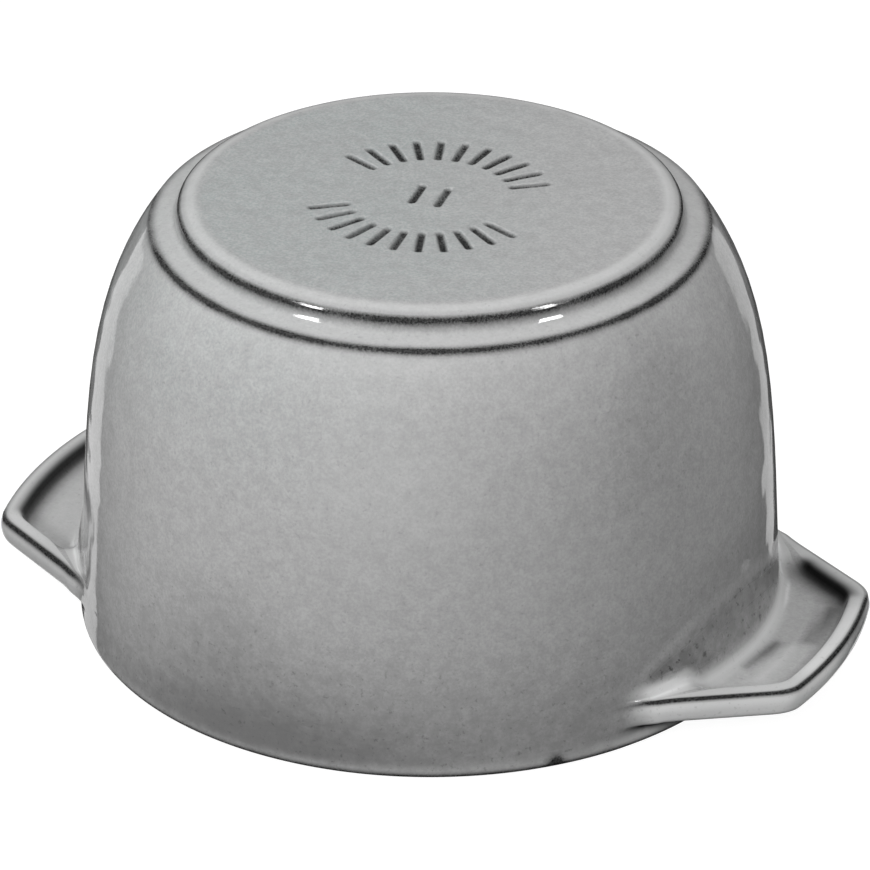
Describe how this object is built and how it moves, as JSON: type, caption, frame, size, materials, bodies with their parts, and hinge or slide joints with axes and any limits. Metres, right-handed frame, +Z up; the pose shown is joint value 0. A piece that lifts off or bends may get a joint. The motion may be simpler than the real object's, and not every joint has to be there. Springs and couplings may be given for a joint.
{
  "type": "round dutch oven",
  "caption": "Round enamelled cast-iron dutch oven turned over on its rim, with pocketed lug handles, over its own domed lid with a screwed-on knob.",
  "frame": {"origin": "centre of the rim plane that the turned-over pot stands on", "axes": "+Z up through the base, +X along the line through both handles, +Y across them"},
  "size_m": [0.1778, 0.1406, 0.0901],
  "materials": {
    "pot_enamel": "glossy grey enamel, thin and dark on crisp edges",
    "lid_enamel": "glossy grey enamel",
    "knob_steel": "fine turned",
    "washer_steel": "plain",
    "screw_steel": "plain"
  },
  "bodies": {
    "lid": {"lid_casting": "lid_enamel", "lid_knob": "knob_steel", "knob_washer": "washer_steel", "knob_screw": "screw_steel"},
    "pot": {"pot_casting": "pot_enamel"}
  },
  "joints": [
    {"name": "pot_lift", "type": "slide", "parent": "lid", "child": "pot", "axis": [0, 0, 1], "range_m": [0, 0.05]}
  ]
}
